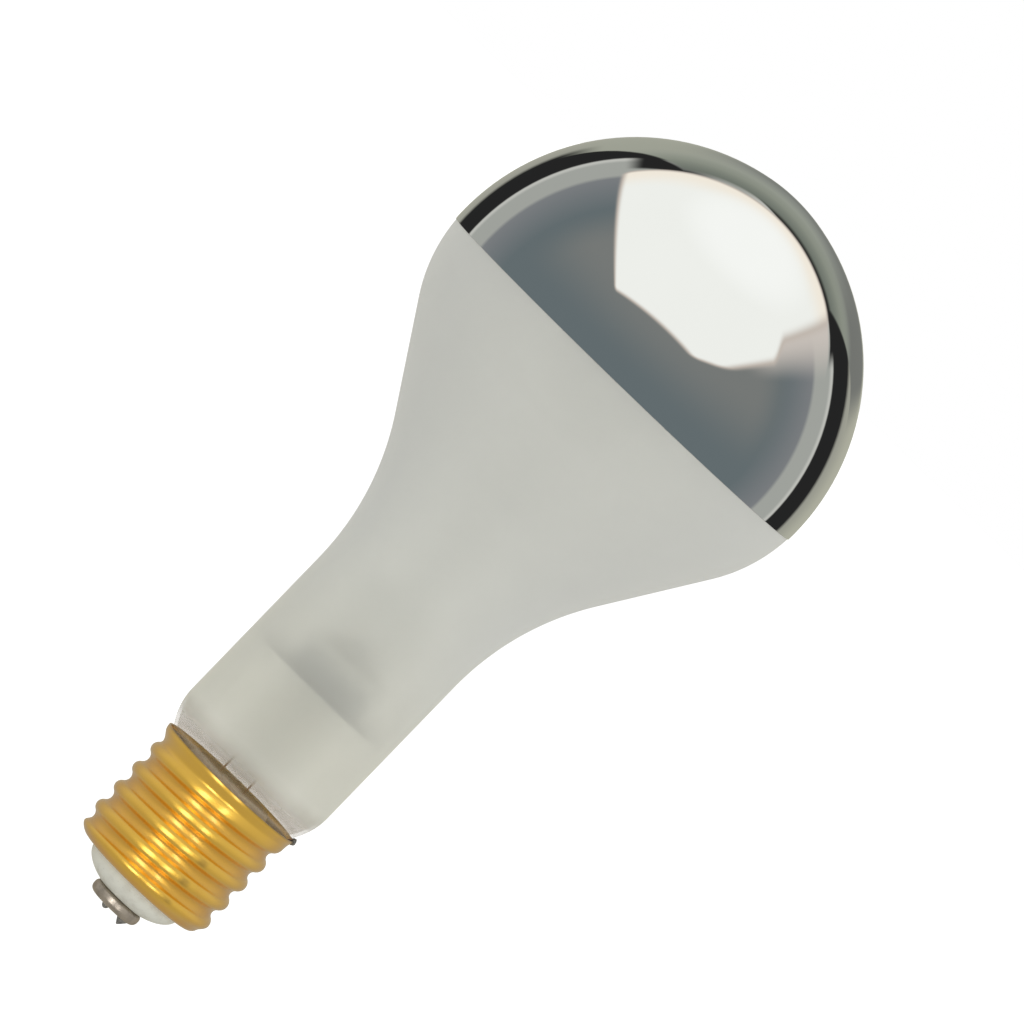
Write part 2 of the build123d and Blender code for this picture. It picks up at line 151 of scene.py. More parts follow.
class LampColours(bpy.types.PropertyGroup):
    """Colours of the finishes, in linear light."""

    frost: colour("Frost", "Tint of the frosted bowl", (0.90, 0.91, 0.87))
    warm_frost: colour("Warm frost", "Tint of the frosted neck", (0.93, 0.92, 0.80))
    clear: colour("Clear ring", "Smoky tint of the clear ring at the cap", (0.34, 0.21, 0.05))
    # The light tone of the browned glass is partly painted light over the shade inside the cap.
    baked_and_painted_light: colour("Baked glass", "Glass browned by heat close to the cap", (0.72, 0.58, 0.40))
    veil: colour("Veil", "What shows straight through the frost", (0.90, 0.90, 0.85))
    silver: colour("Silver", "Mirror on the bowl", (0.88, 0.89, 0.89))
    brass: colour("Brass", "Polished brass of the shell", (0.92, 0.555, 0.065))
    # Besides random dulling, this tone paints shade into the grooves.
    tarnish_and_groove_shade: colour("Tarnish", "Orange brass of the grooves", (0.78, 0.38, 0.05))
    cement: colour("Cement", "Basing cement", (0.76, 0.63, 0.47))
    porcelain: colour("Insulator", "Off-white insulator", (0.86, 0.86, 0.76))
    stain: colour("Stain", "Handling marks on the insulator", (0.34, 0.30, 0.24))
    contact: colour("Contact", "Plated contact", (0.50, 0.44, 0.37))
    nickel: colour("Nickel", "Inner wires", (0.52, 0.49, 0.44))
    solder: colour("Solder", "Dull solder", (0.30, 0.29, 0.27))
    copper: colour("Copper", "Outer lead wires", (0.50, 0.27, 0.15))
    # Painted shade: the deflector's dark bluish tone at its plate, darker than its own grey metal. The collar's
    # brighter top below is painted light.
    disc_shade: colour("Disc", "Heat deflector", (0.28, 0.31, 0.36))
    collar: colour("Collar", "Brighter top of the deflector's collar", (0.86, 0.86, 0.84))
    tungsten: colour("Tungsten", "Filament", (0.20, 0.20, 0.21))


class StudioSettings(bpy.types.PropertyGroup):
    """Camera, floor and light."""

    distance: length("Camera distance", "From the lamp's axis", 2.735)
    eye_height: length("Eye height", "Of the camera over the tip of the contact", 0.259)
    lens: FloatProperty(name="Lens", description="Focal length in millimetres", default=402.4, unit="CAMERA")
    lean: turn("Lean", "How far the lamp leans to the right in the picture", 44.06)
    middle_x: pixels("Middle X", "Picture column of the lamp's middle", 450.0)
    middle_y: pixels("Middle Y", "Picture row of the lamp's middle", 556.8)
    picture: IntProperty(name="Picture", description="Pixels on a side", default=1024, subtype="PIXEL")
    floor_drop: length("Floor drop", "Floor below the tip of the contact", 0.16)
    floor_front: length("Floor front", "From the lamp to the floor's front edge", 2.4)
    floor_side: length("Floor side", "Side of the square floor", 24)
    floor: colour("Floor", "Pale floor", (0.86, 0.86, 0.85))
    fill: amount("Fill", "Power of the front fill in watts", 6.2)
    streak: amount("Streak", "Power of the tall light left of the cap in watts", 4.2)


# Shader maths


class Value:
    """A socket that takes part in Python expressions."""

    def __init__(self, finish, socket):
        self.finish = finish
        self.socket = socket

    def math(self, operation, *others):
        inputs = dict(enumerate((self, *others)))
        return self.finish.node("ShaderNodeMath", {"operation": operation}, inputs)

    def __add__(self, other):
        return self.math("ADD", other)

    __radd__ = __add__

    def __sub__(self, other):
        return self.math("SUBTRACT", other)

    def __rsub__(self, other):
        return self.finish.node("ShaderNodeMath", {"operation": "SUBTRACT"}, {0: other, 1: self})

    def __mul__(self, other):
        return self.math("MULTIPLY", other)

    __rmul__ = __mul__

    def __truediv__(self, other):
        return self.math("DIVIDE", other)

    def __rtruediv__(self, other):
        return self.finish.node("ShaderNodeMath", {"operation": "DIVIDE"}, {0: other, 1: self})

    def __neg__(self):
        return self.math("MULTIPLY", -1.0)

    def __abs__(self):
        return self.math("ABSOLUTE")

    def step(self, low, high):
        """Rises smoothly from 0 at low to 1 at high."""
        inputs = {"Value": self, "From Min": low, "From Max": high}
        return self.finish.node("ShaderNodeMapRange", {"interpolation_type": "SMOOTHSTEP"}, inputs)

    def clamp(self):
        return self.math("MINIMUM", 1.0).math("MAXIMUM", 0.0)

    def parts(self):
        """The three numbers of a vector."""
        split = self.finish.node("ShaderNodeSeparateXYZ", {}, {0: self}).socket.node
        return [Value(self.finish, output) for output in split.outputs]

    def mix(self, low, high):
        """A colour between two, with this value as the share of the second."""
        inputs = {"Factor": self, "A": low, "B": high}
        return self.finish.node("ShaderNodeMix", {"data_type": "RGBA"}, inputs, "Result")


def rgba(tint):
    """A colour with its alpha."""
    return (*tint, 1.0)


class Finish:
    """A node tree that is written as expressions."""

    def __init__(self, tree):
        self.tree = tree
        tree.nodes.clear()

    def node(self, kind, settings=None, inputs=None, output=0):
        """Adds a node, sets it up, then fills its sockets with values or links."""
        made = self.tree.nodes.new(kind)
        for key, value in (settings or {}).items():
            if key == "stops":
                self.ramp(made.color_ramp, value)
            else:
                setattr(made, key, value)
        for key, value in (inputs or {}).items():
            socket = self.socket(made.inputs, key)
            if isinstance(value, Value):
                self.tree.links.new(value.socket, socket)
            else:
                socket.default_value = value
        return None if output is None else Value(self, self.socket(made.outputs, output))

    @staticmethod
    def socket(sockets, key):
        """A socket by its number, or by its name among those that are switched on."""
        if isinstance(key, int):
            return sockets[key]
        return next(s for s in sockets if s.name == key and s.enabled)

    @staticmethod
    def ramp(ramp, stops):
        """Sets the stops of a ramp, each a place and a colour."""
        while len(ramp.elements) > 1:
            ramp.elements.remove(ramp.elements[-1])
        for number, (place, tint) in enumerate(stops):
            element = ramp.elements[0] if number == 0 else ramp.elements.new(place)
            element.position = place
            element.color = rgba(tint)

    def place(self):
        """Object coordinates, in metres."""
        return self.node("ShaderNodeTexCoord", {}, {}, "Object")

    def noise(self, size, detail=3.0, rough=0.55, stretch=(1, 1, 1)):
        """Soft noise with patches of about a size in metres."""
        at = self.node("ShaderNodeVectorMath", {"operation": "MULTIPLY"}, {0: self.place(), 1: stretch})
        inputs = {"Vector": at, "Scale": 1 / size, "Detail": detail, "Roughness": rough}
        return self.node("ShaderNodeTexNoise", {}, inputs, "Fac")

    def bump(self, height, depth, strength=1.0):
        """A normal from a height between 0 and 1 and a depth in metres."""
        inputs = {"Strength": strength, "Distance": depth, "Height": height}
        return self.node("ShaderNodeBump", {}, inputs, "Normal")

    def shader(self, **inputs):
        """The general shader, with its socket names in lower case."""
        names = {name.replace("_", " ").title().replace("Ior", "IOR"): value for name, value in inputs.items()}
        return self.node("ShaderNodeBsdfPrincipled", {}, names, "BSDF")

    def surface(self, shader):
        """Ends a material with its shader."""
        self.node("ShaderNodeOutputMaterial", {}, {"Surface": shader}, None)


def material(name):
    """A new material and the expressions that fill it."""
    made = bpy.data.materials.new(name)
    made.use_nodes = True
    return made, Finish(made.node_tree)


def frosted_glass():
    """Blown glass, etched inside: clear and slightly smoky at the cap, then evenly frosted with a fine grain.

    The outer face throws back a share of the light as the frost does, and the rough inner face blurs what is behind.
    """
    made, f = material("frosted_glass")
    bulb = bpy.context.scene.lamp_bulb
    tints = bpy.context.scene.lamp_colours
    height = f.place().parts()[2]
    inner = f.node("ShaderNodeAttribute", {"attribute_name": "inner_face"}, {}, "Fac")
    ragged = height + (f.noise(5 * MM, 1.0) - 0.5) * (0.8 * MM)
    frost = ragged.step(bulb.frost_start, bulb.frost_start + bulb.frost_fade)
    grain = f.noise(0.6 * MM, 1.0)
    cloud = f.noise(45 * MM, 1.0)
    throat, neck = 120 * MM, 60 * MM
    tone = height.step(throat, neck).mix(rgba(tints.frost), rgba(tints.warm_frost))
    haze = f.shader(
        base_color=(cloud * 0.25 + grain * 0.1).mix(tone, rgba([c * 0.94 for c in tints.frost])),
        roughness=0.5 + 0.1 * grain, specular_ior_level=0.2,
    )
    veil = f.shader(
        base_color=grain.mix(rgba(tints.veil), rgba([c * 0.98 for c in tints.veil])),
        roughness=0.19 + 0.27 * inner + 0.04 * grain, transmission_weight=1.0, ior=1.45, specular_ior_level=0.2,
    )
    # Browned glass close to the cap: partly a real film, partly painted light, because its light and denser tone
    # covers the shade inside the cap.
    baked_and_painted_light = height.step(RIM + 2.3 * MM, RIM + 0.9 * MM)
    smoke = cloud.mix(rgba(tints.clear), rgba([c * 0.9 for c in tints.clear]))
    clear = f.shader(
        base_color=baked_and_painted_light.mix(smoke, rgba(tints.baked_and_painted_light)), roughness=0.05 + 0.03 * cloud,
        alpha=0.04 + (0.17 + 0.04 * cloud) * height.step(RIM - 0.2 * MM, RIM + 1.8 * MM) + 0.12 * baked_and_painted_light,
    )
    facing = f.node("ShaderNodeLayerWeight", {}, {"Blend": 0.5}, "Facing")
    scattered = (1 - inner) * (1 - bulb.frost_view * (1 - facing))
    etched = f.node("ShaderNodeMixShader", {}, {0: scattered, 1: veil, 2: haze}, "Shader")
    f.surface(f.node("ShaderNodeMixShader", {}, {0: frost, 1: clear, 2: etched}, "Shader"))
    return made


def mirror_silver():
    """Bright silver with the faintest clouding."""
    made, f = material("mirror_silver")
    silver = bpy.context.scene.lamp_colours.silver
    cloud = f.noise(30 * MM, 4.0)
    speck = f.noise(0.8 * MM, 2.0)
    base = cloud.mix(rgba(silver), rgba([c * 0.965 for c in silver]))
    f.surface(f.shader(base_color=base, metallic=1.0, roughness=0.001 + 0.001 * cloud + 0.001 * speck))
    return made


def clear_glass():
    """Thin clear tube glass with soft draw lines, clouded at the seal by the cement behind it."""
    made, f = material("clear_glass")
    lines = f.noise(3 * MM, 3.0, 0.5, (1, 1, 0.06))
    height = f.place().parts()[2]
    seal = height.step(RIM + 0.7 * MM, RIM - 0.1 * MM)
    smoky = height.step(RIM + 2.3 * MM, RIM + 10.3 * MM)
    base = lines.mix((0.60, 0.61, 0.57, 1), (0.50, 0.51, 0.48, 1))
    f.surface(f.shader(
        base_color=seal.mix(base, rgba(bpy.context.scene.lamp_colours.cement)), roughness=0.04 + 0.05 * lines,
        alpha=0.03 + (0.08 + 0.06 * lines) * smoky + 0.95 * seal,
    ))
    return made


def brass():
    """Rolled brass under clear lacquer: satin crests, grooves in a darker orange that is painted shade, a darker rim
    line and a line of dark marks on the front crests that is a painted dark reflection.
    """
    made, f = material("rolled_brass")
    tints = bpy.context.scene.lamp_colours
    cap = bpy.context.scene.lamp_cap
    x, y, z = f.place().parts()
    radius = (x * x + y * y).math("SQRT")
    # Painted shade: the grooves take the darker orange tone.
    groove_shade = (cap.thread_crest - radius).step(0.35 * cap.thread_depth, cap.thread_depth)
    cloud = f.noise(9 * MM, 4.0, 0.55)
    spots = f.noise(2.2 * MM, 3.0, 0.6).step(0.62, 0.78)
    lines = f.noise(1.2 * MM, 3.0, 0.6, (0.12, 0.12, 3.0))
    crest = (cap.thread_crest - radius).step(0.22 * cap.thread_depth, 0.02 * cap.thread_depth)
    # Painted dark reflection: dark marks on the lower front crests, at the given side.
    dark_reflection_off = abs(x * math.cos(cap.marks) + y * math.sin(cap.marks))
    marks = crest * dark_reflection_off.step(2.3 * MM, 0.2 * MM) * y.step(0.0, -4 * MM)
    marks = marks * z.step(34 * MM, 24 * MM) * cloud.step(0.3, 0.5)
    # Darker towards the rim's top edge.
    rim = z.step(RIM - 0.6 * MM, RIM)
    # dull: random dull patches, plus the painted shade of the grooves.
    dull = (cloud.step(0.46, 0.82) * 0.25 + groove_shade * 0.45 + spots * 0.12).clamp()
    base = dull.mix(rgba(tints.brass), rgba(tints.tarnish_and_groove_shade))
    # The dark tone paints the dark reflection of the marks and darkens the rim.
    base = (marks * 0.45 + rim * 0.5).clamp().mix(base, (0.16, 0.09, 0.02, 1))
    rough = 0.27 + 0.06 * cloud + 0.06 * dull + 0.03 * lines
    f.surface(f.shader(
        base_color=base, metallic=1.0, roughness=rough, coat_weight=1.0, coat_roughness=0.17,
        normal=f.bump(cloud * 0.5 + lines * 0.08, 0.03 * MM, 0.08),
    ))
    return made


def cement():
    """Grainy brown cement."""
    made, f = material("basing_cement")
    tone = bpy.context.scene.lamp_colours.cement
    grain = f.noise(0.7 * MM, 5.0, 0.7)
    patch = f.noise(5 * MM, 3.0)
    light = (grain * 0.6 + patch * 0.4).step(0.3, 0.7)
    base = light.mix(rgba([c * 0.75 for c in tone]), rgba([c * 1.3 for c in tone]))
    f.surface(f.shader(base_color=base, roughness=0.8 + 0.15 * grain, normal=f.bump(grain, 0.25 * MM, 0.8)))
    return made


def insulator_glaze():
    """Off-white insulator with a dull glaze and brown handling marks towards the contact."""
    made, f = material("insulator_glaze")
    tints = bpy.context.scene.lamp_colours
    height = f.place().parts()[2]
    patch = f.noise(4 * MM, 5.0, 0.65)
    speck = f.noise(0.9 * MM, 4.0, 0.7).step(0.62, 0.72)
    low = height.step(SHELL_LOW[2] - 0.3 * MM, SHELL_LOW[2] - 5.6 * MM)
    dirt = (patch.step(0.42, 0.8) * 0.35 + speck * 0.25 + low * 0.12).clamp()
    base = dirt.mix(rgba(tints.porcelain), rgba(tints.stain))
    f.surface(f.shader(base_color=base, roughness=0.32 + 0.3 * dirt, normal=f.bump(patch, 0.12 * MM, 0.4)))
    return made


def contact_plate():
    """Plated contact, worn and browned, with fine turning marks."""
    made, f = material("contact_plate")
    tints = bpy.context.scene.lamp_colours
    patch = f.noise(3 * MM, 5.0, 0.65)
    marks = f.noise(0.5 * MM, 3.0, 0.6, (0.2, 0.2, 3.0))
    worn = (patch.step(0.38, 0.75) * 0.8).clamp()
    base = worn.mix(rgba(tints.contact), rgba([c * 0.62 for c in tints.contact]))
    f.surface(f.shader(
        base_color=base, metallic=1.0, roughness=0.27 + 0.14 * worn + 0.05 * marks,
        normal=f.bump(patch + marks * 0.3, 0.08 * MM, 0.6),
    ))
    return made


def dull_solder():
    """Cold solder: grey metal with dark flux in its pits."""
    made, f = material("dull_solder")
    tone = bpy.context.scene.lamp_colours.solder
    pits = f.noise(0.6 * MM, 5.0, 0.7)
    flux = f.noise(1.4 * MM, 4.0).step(0.45, 0.65)
    base = flux.mix(rgba(tone), rgba([c * 0.35 for c in tone]))
    f.surface(f.shader(
        base_color=base, metallic=0.85 - 0.5 * flux, roughness=0.38 + 0.25 * pits,
        normal=f.bump(pits, 0.25 * MM, 0.9),
    ))
    return made


def drawn_metal(name, tone, rough, painted_light_top=None):
    """Drawn or rolled metal with faint cloudy oxide; where a top tone is given, it turns to that brighter tone up the
    collar as painted light.
    """
    made, f = material(name)
    cloud = f.noise(2.5 * MM, 4.0, 0.6)
    base = cloud.mix(rgba(tone), rgba([c * 0.7 for c in tone]))
    if painted_light_top:
        collar_foot, collar_top = 76 * MM, 86 * MM
        # Painted light: the collar turns from the dark plate tone to a lighter one towards its top.
        base = f.place().parts()[2].step(collar_foot, collar_top).mix(base, rgba(painted_light_top))
    f.surface(f.shader(
        base_color=base, metallic=1.0, roughness=rough + 0.15 * cloud, normal=f.bump(cloud, 0.02 * MM, 0.4),
    ))
    return made


# Surfaces as arrays


def grid_mesh(name, rows, loop=False):
    """A mesh over a grid of points whose columns close round.

    Each row is a ring, rows follow one another along the profile, and a row drawn to a point becomes one vertex.
    With loop the last row joins the first. Faces are turned outwards by the sign of the enclosed volume.
    """
    count, columns = rows.shape[:2]
    pole = np.ptp(rows, axis=1).max(axis=1) < 1e-9
    sizes = np.where(pole, 1, columns)
    starts = np.concatenate([[0], np.cumsum(sizes)[:-1]])
    index = starts[:, None] + np.where(pole[:, None], 0, np.arange(columns)[None, :])
    keep = np.ones((count, columns), bool)
    keep[pole, 1:] = False
    points = rows[keep]
    low = index if loop else index[:-1]
    high = np.roll(index, -1, axis=0) if loop else index[1:]
    quads = np.stack([low, np.roll(low, -1, axis=1), np.roll(high, -1, axis=1), high], axis=-1).reshape(-1, 4)
    a, b, c, d = (points[quads[:, i]] for i in range(4))
    volume = np.einsum("ij,ij->i", a, np.cross(b, c)).sum() + np.einsum("ij,ij->i", a, np.cross(c, d)).sum()
    if volume < 0:
        quads = quads[:, ::-1]
    fresh = quads != np.roll(quads, 1, axis=1)
    totals = fresh.sum(axis=1)
    mesh = bpy.data.meshes.new(name)
    mesh.vertices.add(len(points))
    mesh.vertices.foreach_set("co", points.astype(np.float32).ravel())
    mesh.loops.add(int(totals.sum()))
    mesh.loops.foreach_set("vertex_index", quads[fresh].astype(np.int32))
    mesh.polygons.add(len(quads))
    mesh.polygons.foreach_set("loop_start", np.concatenate([[0], np.cumsum(totals)[:-1]]).astype(np.int32))
    mesh.polygons.foreach_set("loop_total", totals.astype(np.int32))
    mesh.polygons.foreach_set("use_smooth", np.ones(len(quads), bool))
    mesh.update(calc_edges=True)
    mesh.validate()
    return mesh


def piece(mesh, finish, slot, *nodes):
    """Puts a mesh into the scene as a piece that stands for CAD nodes."""
    made = bpy.data.objects.new(mesh.name, mesh)
    bpy.context.scene.collection.objects.link(made)
    mesh.materials.append(finish)
    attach(made, "root")
    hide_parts(*nodes)
    return made


def clothe(finish, *nodes):
    """Gives a finish to CAD nodes whose shape stays."""
    for node in nodes:
        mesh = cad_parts[node].data
        mesh.materials.clear()
        mesh.materials.append(finish)


def arc(centre_r, centre_z, radius, start, end, count):
    """Points of an outline on a circle, by angle from the horizontal: centre + radius * (cos, sin)."""
    angle = np.linspace(start, end, count)
    return np.stack([centre_r + radius * np.cos(angle), centre_z + radius * np.sin(angle)], axis=1)


def lathe(outline, columns):
    """Turns an outline of radius and height about the axis: (r cos, r sin, z)."""
    angle = np.linspace(0, 2 * np.pi, columns, endpoint=False)
    r, z = outline[:, :1], outline[:, 1:]
    return np.stack([r * np.cos(angle), r * np.sin(angle), z + 0 * angle], axis=-1)


def ease(share):
    """Rises smoothly from 0 to 1: 3 s squared less 2 s cubed."""
    share = np.clip(share, 0, 1)
    return share * share * (3 - 2 * share)


class BulbOutline:
    """The tangent arcs of the bulb, worked out as the frame has them."""

    def __init__(self, bulb):
        self.bulb = bulb
        self.crown_z = GLASS_HIGH[2] - bulb.crown_radius
        self.upper = bulb.bulb_radius + bulb.bowl_rise
        self.equator = self.crown_z - math.sqrt((self.upper - bulb.crown_radius) ** 2 - bulb.bowl_rise**2)
        self.bowl_r = bulb.bulb_radius - bulb.bowl_radius
        self.throat_r = bulb.neck_radius + bulb.throat_radius
        bends = bulb.bowl_radius + bulb.throat_radius
        across, along = math.sin(bulb.cone_angle), math.cos(bulb.cone_angle)
        cone = (bulb.bulb_radius - bulb.neck_radius - bends * (1 - along)) / across
        self.throat_z = self.equator - bends * across - cone * along
        self.shoulder_z = RIM + bulb.shoulder_height
        self.shoulder_r = bulb.neck_radius - bulb.shoulder_radius
        self.lean = math.asin(bulb.shoulder_height / bulb.shoulder_radius)
        self.crown_join = math.atan2(self.crown_z - self.equator, bulb.bowl_rise)

    def bowl(self, inset, low):
        """Crown arc, upper bowl and lower bowl, down to an angle below the equator."""
        b = self.bulb
        return [
            arc(0, self.crown_z, b.crown_radius - inset, math.pi / 2, self.crown_join, 30),
            arc(-b.bowl_rise, self.equator, self.upper - inset, self.crown_join, 0, 34)[1:],
            arc(self.bowl_r, self.equator, b.bowl_radius - inset, 0, low, 28)[1:],
        ]

    def whole(self, inset):
        """From the crown to the sealed end: bowl, cone, hollow throat, straight neck, shoulder and taper."""
        b = self.bulb
        bowl = self.bowl(inset, -b.cone_angle)
        throat = arc(self.throat_r, self.throat_z, b.throat_radius + inset, math.pi - b.cone_angle, math.pi, 34)
        cone = np.linspace(bowl[-1][-1], throat[0], 24)
        neck = b.neck_radius - inset
        straight = np.stack([np.full(22, neck), np.linspace(self.throat_z, self.shoulder_z, 22)], axis=1)
        shoulder = arc(self.shoulder_r, self.shoulder_z, b.shoulder_radius - inset, 0, -self.lean, 16)
        drop = np.linspace(0, shoulder[-1, 1] - GLASS_LOW[2], 8)
        taper = np.stack([shoulder[-1, 0] - drop * math.tan(self.lean), shoulder[-1, 1] - drop], axis=1)
        parts = bowl + [cone[1:], throat[1:], straight[1:], shoulder[1:], taper[1:]]
        return np.concatenate(parts)


def bulb_glass_mesh(bulb):
    """Outer wall from the crown to the seal and inner wall back: one outline turned about the axis.

    Inside the cap the outer wall is drawn in by a hair, clear of the cement.
    """
    outline = BulbOutline(bulb)
    outer = outline.whole(0)
    hair = 0.08 * MM
    outer[:, 0] -= hair * ease((RIM + 2.3 * MM - outer[:, 1]) / (3 * MM))
    rows = np.concatenate([outer, outline.whole(bulb.glass_wall)[::-1]])
    rows[[0, -1], 0] = 0
    mesh = grid_mesh("bulb_glass", lathe(rows, 160))
    inner = mesh.attributes.new("inner_face", "FLOAT", "POINT")
    inner.data.foreach_set("value", np.arange(len(mesh.vertices)) >= len(mesh.vertices) / 2)
    return mesh


def silvered_bowl_mesh(bulb):
    """Outer and inner face of the silver, from the crown to its level edge: one outline turned about the axis."""
    outline = BulbOutline(bulb)
    coat = MIRROR_HIGH[2] - GLASS_HIGH[2]
    drop = outline.equator - MIRROR_LOW[2]
    faces = [outline.bowl(-grow, -math.asin(drop / (bulb.bowl_radius + grow))) for grow in (coat, 0.1 * coat)]
    outer, inner = (np.concatenate(parts) for parts in faces)
    rows = np.concatenate([outer, inner[::-1]])
    rows[[0, -1], 0] = 0
    return grid_mesh("silvered_bowl", lathe(rows, 256))


def thread_wave(offset, pitch, depth):
    """The rolled thread over its mean radius: equal tangent arcs at crest and root, by distance from the crest."""
    bend = ((pitch / 4) ** 2 + (depth / 2) ** 2) / depth
    away = np.abs((offset + pitch / 2) % pitch - pitch / 2)
    crest = depth / 2 - bend + np.sqrt(bend**2 - np.minimum(away, pitch / 4) ** 2)
    root = bend - depth / 2 - np.sqrt(bend**2 - np.minimum(pitch / 2 - away, pitch / 4) ** 2)
    return np.where(away <= pitch / 4, crest, root)


def shell_face(cap, inset, rows, columns):
    """One face of the sheet: mean radius of the flared shell plus the thread's wave, turned about the axis.

    The wave's crest climbs one pitch a turn. It grows out of the curl and fades into the band under the rim.
    """
    low, high = SHELL_LOW[2], RIM
    curl_top, curl = low + cap.curl_radius, cap.curl_radius - inset
    bend = np.linspace(0, np.pi / 2, 10)[:-1]
    z = np.concatenate([curl_top - curl * np.cos(bend), np.linspace(curl_top, high, rows)])[:, None]
    draw_in = np.concatenate([cap.curl_radius - curl * np.sin(bend), np.full(rows, inset)])[:, None]
    turn_share = np.linspace(0, 1, columns, endpoint=False)[None, :]
    mean = cap.thread_crest - cap.thread_depth / 2
    run_out = high - cap.thread_run_out
    flare = ease((z - run_out) / cap.thread_run_out) ** 1.6
    share = ease((z - low) / cap.thread_run_in) * (1 - ease((z - run_out) / cap.thread_run_out))
    wave = thread_wave(z - low - cap.first_crest - cap.thread_pitch * turn_share, cap.thread_pitch, cap.thread_depth)
    radius = mean + (SHELL_HIGH[0] - mean) * flare - draw_in + share * wave
    angle = 2 * np.pi * turn_share
    return np.stack([radius * np.cos(angle), radius * np.sin(angle), z + 0 * angle], axis=-1)


def screw_shell_mesh(cap):
    """The brass sheet as one closed loop of rings: mouth, outer face, rim and inner face."""
    columns = 224
    angle = np.linspace(0, 2 * np.pi, columns, endpoint=False)
    circle = np.stack([np.cos(angle), np.sin(angle), 0 * angle], axis=-1) * cap.mouth_radius
    outer = shell_face(cap, 0, 200, columns)
    inner = shell_face(cap, cap.shell_wall, 110, columns)[::-1]
    mouth = [circle + [0, 0, z] for z in (SHELL_LOW[2] + cap.shell_wall, SHELL_LOW[2])]
    return grid_mesh("screw_shell_brass", np.concatenate([np.stack(mouth), outer, inner]), loop=True)


def coil_mesh(cap):
    """A wire wound round a ring: a circle carried along a helix whose axis is an open circle."""
    ring = (COIL_HIGH[0] - COIL_LOW[0]) / 2
    thick = (COIL_HIGH[2] - COIL_LOW[2]) / 2
    height = (COIL_HIGH[2] + COIL_LOW[2]) / 2
    ring_radius = ring - thick
    coil = thick - cap.filament_wire
    gap = math.radians(50)
    along = np.linspace(-math.pi / 2 + gap / 2, 1.5 * math.pi - gap / 2, 2400)
    wind = (along - along[0]) * ring_radius / cap.filament_pitch * 2 * np.pi
    out = np.stack([np.cos(along), np.sin(along), 0 * along], axis=-1)
    up = np.array([0.0, 0.0, 1.0])
    radial = out * np.cos(wind)[:, None] + up * np.sin(wind)[:, None]
    path = out * ring_radius + up * height + radial * coil
    tangent = np.gradient(path, axis=0)
    tangent /= np.linalg.norm(tangent, axis=1, keepdims=True)
    side = np.cross(tangent, radial)
    side /= np.linalg.norm(side, axis=1, keepdims=True)
    turn_round = np.linspace(0, 2 * np.pi, 6, endpoint=False)
    circle = radial[:, None] * np.cos(turn_round)[:, None] + side[:, None] * np.sin(turn_round)[:, None]
    tube = path[:, None] + circle * cap.filament_wire
    ends = [np.repeat(path[i][None, None], 6, axis=1) for i in (0, -1)]
    return grid_mesh("filament_coil", np.concatenate([ends[0], tube, ends[1]]))


def contact_button_mesh(cap):
    """The contact as one outline turned about the axis: a button with rounded edges, its shank and the spun rivet."""
    wide, low, high = CONTACT_HIGH[0], CONTACT_LOW[2], CONTACT_HIGH[2]
    top = low + cap.contact_thickness
    seat = high - cap.rivet_thickness
    foot, brow = 1.6 * MM, 1.3 * MM
    outline = np.concatenate([
        [(cap.lead_hole, low)],
        arc(wide - foot, low + foot, foot, -np.pi / 2, 0, 14),
        arc(wide - brow, top - brow, brow, 0, np.pi / 2, 12),
        [(cap.shank, top), (cap.shank, seat), (cap.rivet, seat)],
        arc(cap.rivet - cap.rivet_thickness, seat, cap.rivet_thickness, 0.1, np.pi / 2, 8),
        [(cap.lead_hole, high)],
    ])
    return grid_mesh("contact_button", lathe(outline, 96), loop=True)


def crossed_waves(way, phase):
    """Uneven waves between -1 and 1: products of sines and cosines of three lengths, laid across one another."""
    total = 0
    for size, share in ((2.3, 0.5), (4.9, 0.3), (9.7, 0.2)):
        w = way * size + phase
        total = total + share * np.sin(w[..., 0] + 1.7 * w[..., 1]) * np.cos(w[..., 2] - 1.3 * w[..., 0])
    return total


def lump_rows(low, high, ragged, phase):
    """A ragged lump in a box: an ellipsoid whose radius is cut back by crossed waves."""
    low, high = np.array(low), np.array(high)
    middle, half = (low + high) / 2, (high - low) / 2
    v = np.linspace(-np.pi / 2, np.pi / 2, 33)[:, None]
    u = np.linspace(0, 2 * np.pi, 48, endpoint=False)[None, :]
    way = np.stack([np.cos(v) * np.cos(u), np.cos(v) * np.sin(u), np.sin(v) + 0 * u], axis=-1)
    reach = 1 - ragged * (0.5 + 0.5 * crossed_waves(way, phase))
    return middle + way * reach[..., None] * half


def spike_rows(tip, top, half, ragged, phase):
    """A leaning spike: level ovals whose middle runs from tip to top and whose width grows evenly.

    The ovals are cut back by crossed waves, and both ends are drawn to a point.
    """
    tip, top, half = np.array(tip), np.array(top), np.array(half)
    rise = np.concatenate([[0.0], np.linspace(0.004, 1, 36) ** 1.4, [1.0]])[:, None]
    width = 0.06 + 0.94 * rise
    width[[0, -1]] = 0
    u = np.linspace(0, 2 * np.pi, 56, endpoint=False)[None, :]
    way = np.stack([np.cos(u) + 0 * rise, np.sin(u) + 0 * rise, 2 * rise - 1 + 0 * u], axis=-1)
    reach = width * (1 - ragged * (0.5 + 0.5 * crossed_waves(way, phase)))
    middle = tip + (top - tip) * rise[..., None]
    return middle + way * half * reach[..., None]


# Operators


class LAMP_OT_bulb(bpy.types.Operator):
    """Blows the frosted bulb as two turned walls"""

    bl_idname = "lamp.bulb"
    bl_label = "Glass bulb"

    def execute(self, context):
        piece(bulb_glass_mesh(context.scene.lamp_bulb), frosted_glass(), "frosted_glass", "glass_bulb")
        return {"FINISHED"}


class LAMP_OT_mirror(bpy.types.Operator):
    """Lays the silver on the bowl"""

    bl_idname = "lamp.mirror"
    bl_label = "Silvered bowl"

    def execute(self, context):
        piece(silvered_bowl_mesh(context.scene.lamp_bulb), mirror_silver(), "mirror_coating", "mirror_bowl")
        return {"FINISHED"}


